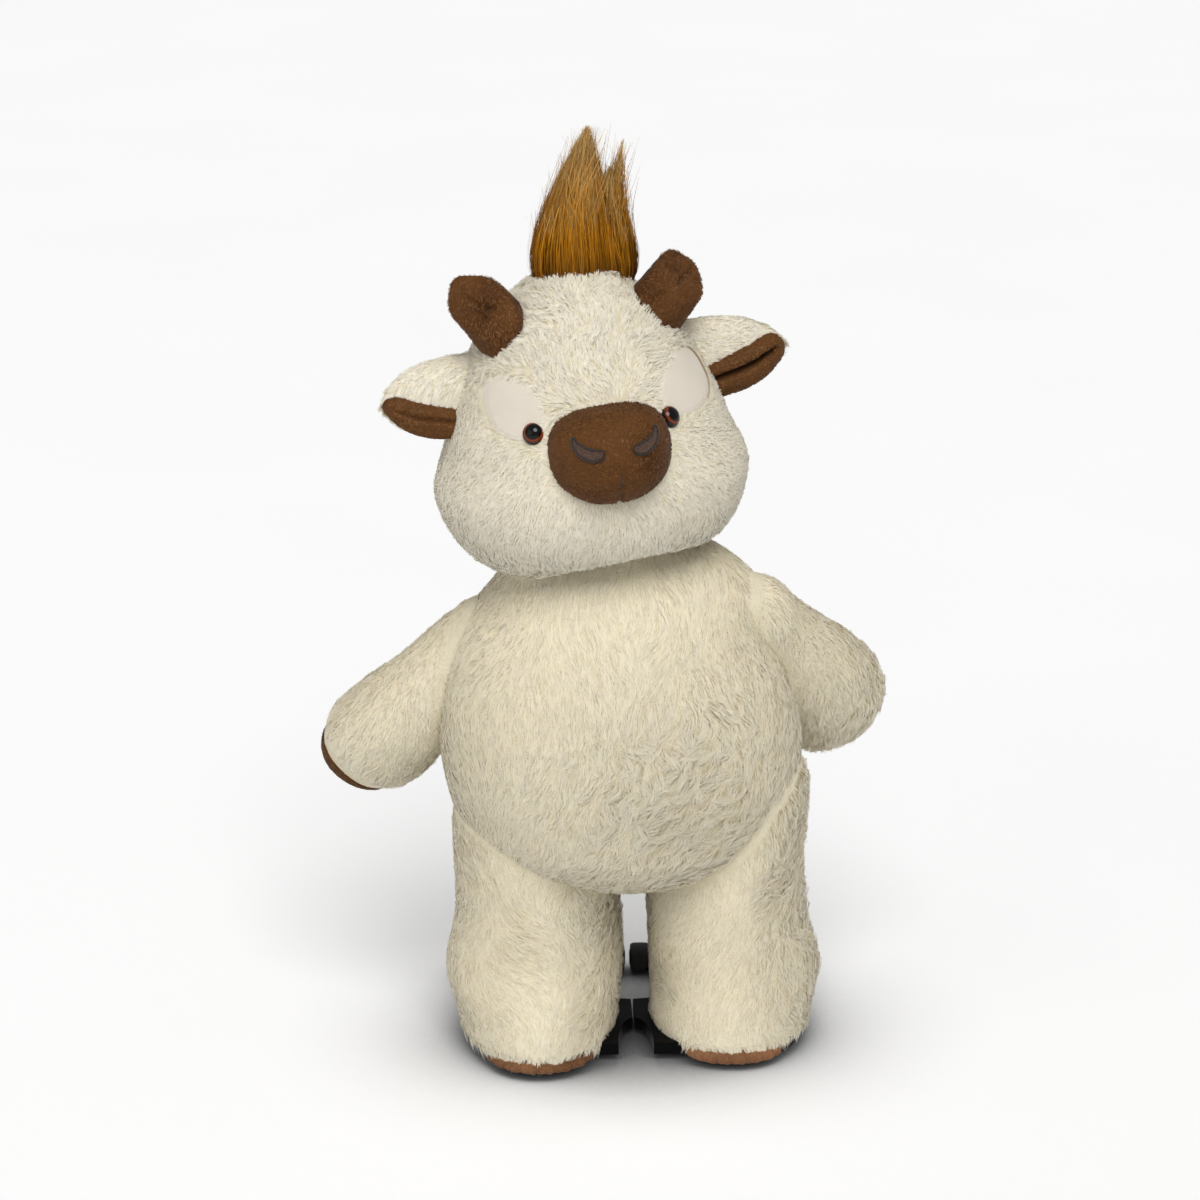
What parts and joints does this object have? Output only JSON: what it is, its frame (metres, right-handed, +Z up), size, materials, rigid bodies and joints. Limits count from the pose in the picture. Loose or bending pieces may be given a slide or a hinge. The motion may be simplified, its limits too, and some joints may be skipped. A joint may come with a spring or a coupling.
{
  "type": "walking plush toy",
  "caption": "Stuffed calf standing on two legs, with a geared hip drive, ankle-hinged foot plates on rollers, and arms and a head that turn.",
  "frame": {"origin": "on the floor, under the middle of the toy's box", "axes": "+Z up, the face looks along -Y, +X to the toy's own left"},
  "size_m": [0.3642, 0.2178, 0.5968],
  "materials": {
    "cream_plush": "long-pile faux fur",
    "brown_plush": "short-pile plush",
    "felt": "smooth felt",
    "tuft_hair": "straight synthetic hair",
    "eye_plastic": "clear amber over a black pupil",
    "black_plastic": "moulded",
    "roller_rubber": "moulded",
    "grey_plastic": "moulded",
    "gear_plastic": "moulded acetal",
    "steel": "drawn bar",
    "cell_jacket": "shrink sleeve"
  },
  "bodies": {
    "torso": {"torso_plush": "cream_plush", "back_flap": "cream_plush", "housing_front": "grey_plastic", "housing_back": "grey_plastic", "side_plate_left": "grey_plastic", "side_plate_right": "grey_plastic", "hip_bracket": "grey_plastic", "hip_axle": "steel", "neck_post": "grey_plastic", "motor": "steel", "battery_holder": "black_plastic", "battery_cover": "black_plastic", "battery_cell_1": "cell_jacket", "battery_cell_2": "cell_jacket", "battery_cell_3": "cell_jacket", "battery_cell_4": "cell_jacket"},
    "crank": {"crank_gear": "gear_plastic", "crank_disc_left": "gear_plastic", "crank_disc_right": "gear_plastic"},
    "idler": {"idler_gear": "gear_plastic"},
    "motor_rotor": {"motor_pinion": "gear_plastic"},
    "switch": {"switch_slider": "black_plastic"},
    "head": {"head_plush": "cream_plush", "neck_socket": "grey_plastic", "muzzle": "brown_plush", "hair_tuft": "tuft_hair", "eye_left": "eye_plastic", "eye_patch_left": "felt", "horn_left": "brown_plush", "ear_plush_left": "cream_plush", "ear_lining_left": "brown_plush", "eye_right": "eye_plastic", "eye_patch_right": "felt", "horn_right": "brown_plush", "ear_plush_right": "cream_plush", "ear_lining_right": "brown_plush"},
    "arm_left": {"arm_plush_left": "cream_plush", "paw_pad_left": "brown_plush"},
    "leg_left": {"leg_frame_left": "grey_plastic", "leg_plush_left": "cream_plush"},
    "foot_left": {"foot_plush_left": "cream_plush", "foot_plate_left": "black_plastic", "toe_cap_left": "brown_plush", "ankle_pin_left": "steel"},
    "rollers_left": {"roller_axle_left": "steel", "roller_inner_left": "roller_rubber", "roller_outer_left": "roller_rubber"},
    "arm_right": {"arm_plush_right": "cream_plush", "paw_pad_right": "brown_plush"},
    "leg_right": {"leg_frame_right": "grey_plastic", "leg_plush_right": "cream_plush"},
    "foot_right": {"foot_plush_right": "cream_plush", "foot_plate_right": "black_plastic", "toe_cap_right": "brown_plush", "ankle_pin_right": "steel"},
    "rollers_right": {"roller_axle_right": "steel", "roller_inner_right": "roller_rubber", "roller_outer_right": "roller_rubber"}
  },
  "joints": [
    {"name": "right_hip", "type": "hinge", "parent": "torso", "child": "leg_right", "pos_m": [-0.04392, 0.00408, 0.152], "axis": [1, 0, 0], "range_deg": [-10, 10]},
    {"name": "left_hip", "type": "hinge", "parent": "torso", "child": "leg_left", "pos_m": [0.08008, 0.00408, 0.152], "axis": [1, 0, 0], "range_deg": [-10, 10]},
    {"name": "right_ankle", "type": "hinge", "parent": "leg_right", "child": "foot_right", "pos_m": [-0.04392, 0.00408, 0.024], "axis": [1, 0, 0], "range_deg": [-10, 10]},
    {"name": "left_ankle", "type": "hinge", "parent": "leg_left", "child": "foot_left", "pos_m": [0.08008, 0.00408, 0.024], "axis": [1, 0, 0], "range_deg": [-10, 10]},
    {"name": "left_rollers_spin", "type": "hinge", "parent": "foot_left", "child": "rollers_left", "pos_m": [0.08008, 0.09908, 0.01], "axis": [1, 0, 0], "continuous": true},
    {"name": "right_rollers_spin", "type": "hinge", "parent": "foot_right", "child": "rollers_right", "pos_m": [-0.04392, 0.09908, 0.01], "axis": [1, 0, 0], "continuous": true},
    {"name": "head_turn", "type": "hinge", "parent": "torso", "child": "head", "pos_m": [-0.00312, 0.00408, 0.324], "axis": [-0.108, 0, 0.9942], "range_deg": [-29, 11]},
    {"name": "left_shoulder", "type": "hinge", "parent": "torso", "child": "arm_left", "pos_m": [0.09408, 0.00808, 0.281], "axis": [0.7431, -0.6691, 0], "range_deg": [-6, 35]},
    {"name": "right_shoulder", "type": "hinge", "parent": "torso", "child": "arm_right", "pos_m": [-0.07392, 0.00808, 0.271], "axis": [0.3746, 0.9272, 0], "range_deg": [-6, 35]},
    {"name": "crank_turn", "type": "hinge", "parent": "torso", "child": "crank", "pos_m": [0.01808, 0.00408, 0.205], "axis": [1, 0, 0], "continuous": true},
    {"name": "idler_turn", "type": "hinge", "parent": "torso", "child": "idler", "pos_m": [0.01808, 0.00408, 0.2353], "axis": [1, 0, 0], "continuous": true},
    {"name": "motor_turn", "type": "hinge", "parent": "torso", "child": "motor_rotor", "pos_m": [0.01808, 0.00408, 0.2596], "axis": [1, 0, 0], "continuous": true},
    {"name": "switch_slide", "type": "slide", "parent": "torso", "child": "switch", "axis": [1, 0, 0], "range_m": [0, 0.004]}
  ],
  "couplings": [
    {"joint": "left_hip", "follows": "right_hip", "ratio": -1},
    {"joint": "right_ankle", "follows": "right_hip", "ratio": -1},
    {"joint": "left_ankle", "follows": "right_hip", "ratio": 1},
    {"joint": "idler_turn", "follows": "crank_turn", "ratio": -4},
    {"joint": "motor_turn", "follows": "crank_turn", "ratio": 12}
  ]
}
